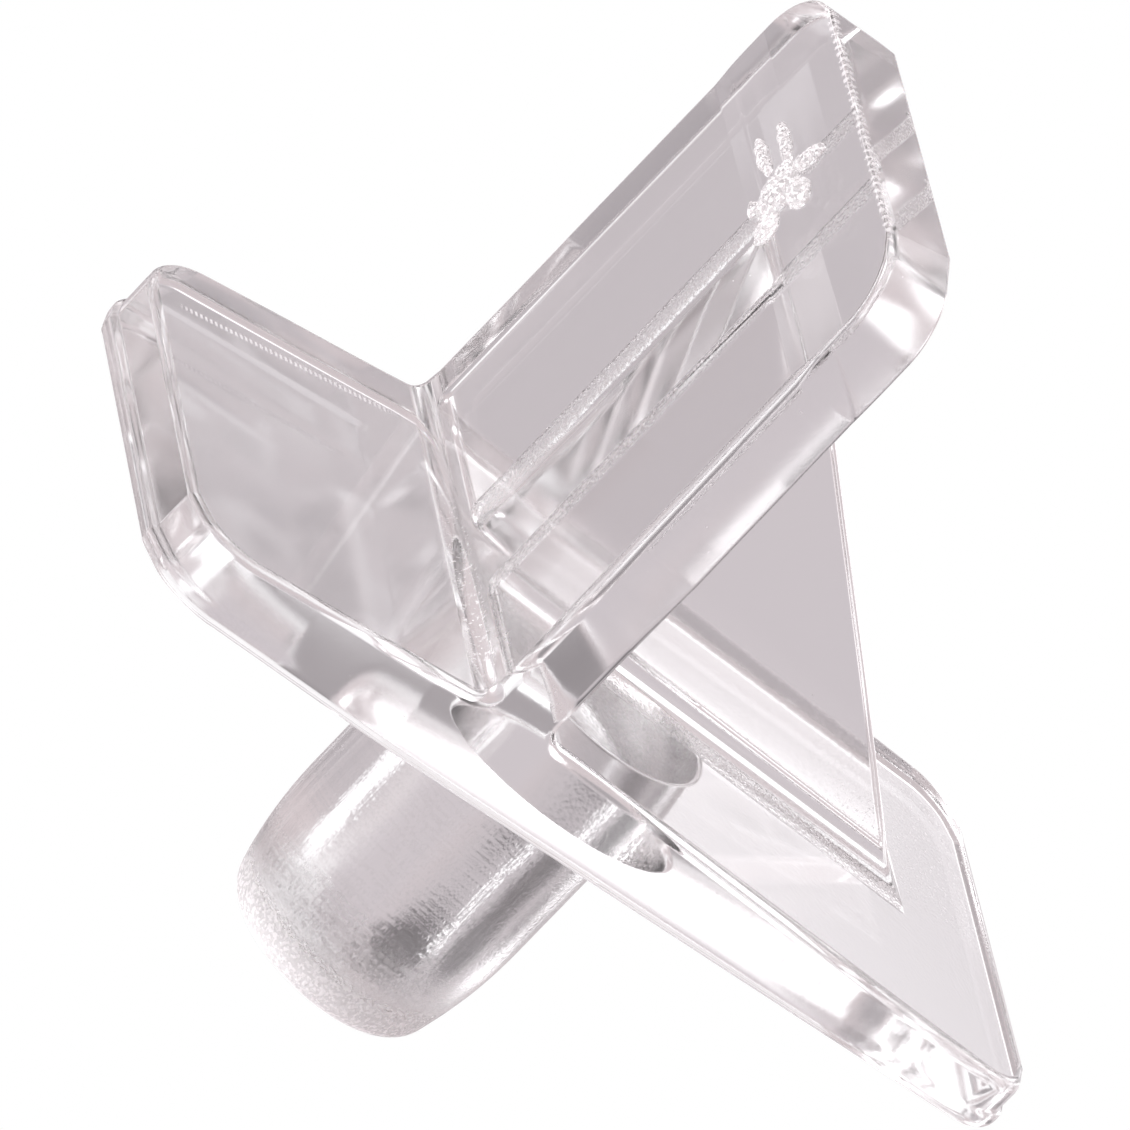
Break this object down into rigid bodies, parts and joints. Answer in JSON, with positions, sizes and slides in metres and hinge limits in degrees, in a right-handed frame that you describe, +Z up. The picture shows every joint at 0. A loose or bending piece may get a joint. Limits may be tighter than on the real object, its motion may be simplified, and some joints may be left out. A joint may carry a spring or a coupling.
{
  "type": "shelf support pin",
  "caption": "One-piece clear plastic shelf support: a round peg behind an upright plate, with a flat ledge braced by a triangular web.",
  "frame": {"origin": "on the peg's axis, where the peg meets the wall side of the back plate", "axes": "+X away from the cabinet wall, along the ledge; +Z up; Y across the width; the peg points along -X"},
  "size_m": [0.0191, 0.0104, 0.02],
  "materials": {
    "clear_plastic": "clear, glossy, with a frosted peg tip"
  },
  "bodies": {
    "root": {"shelf_pin": "clear_plastic"}
  },
  "joints": []
}
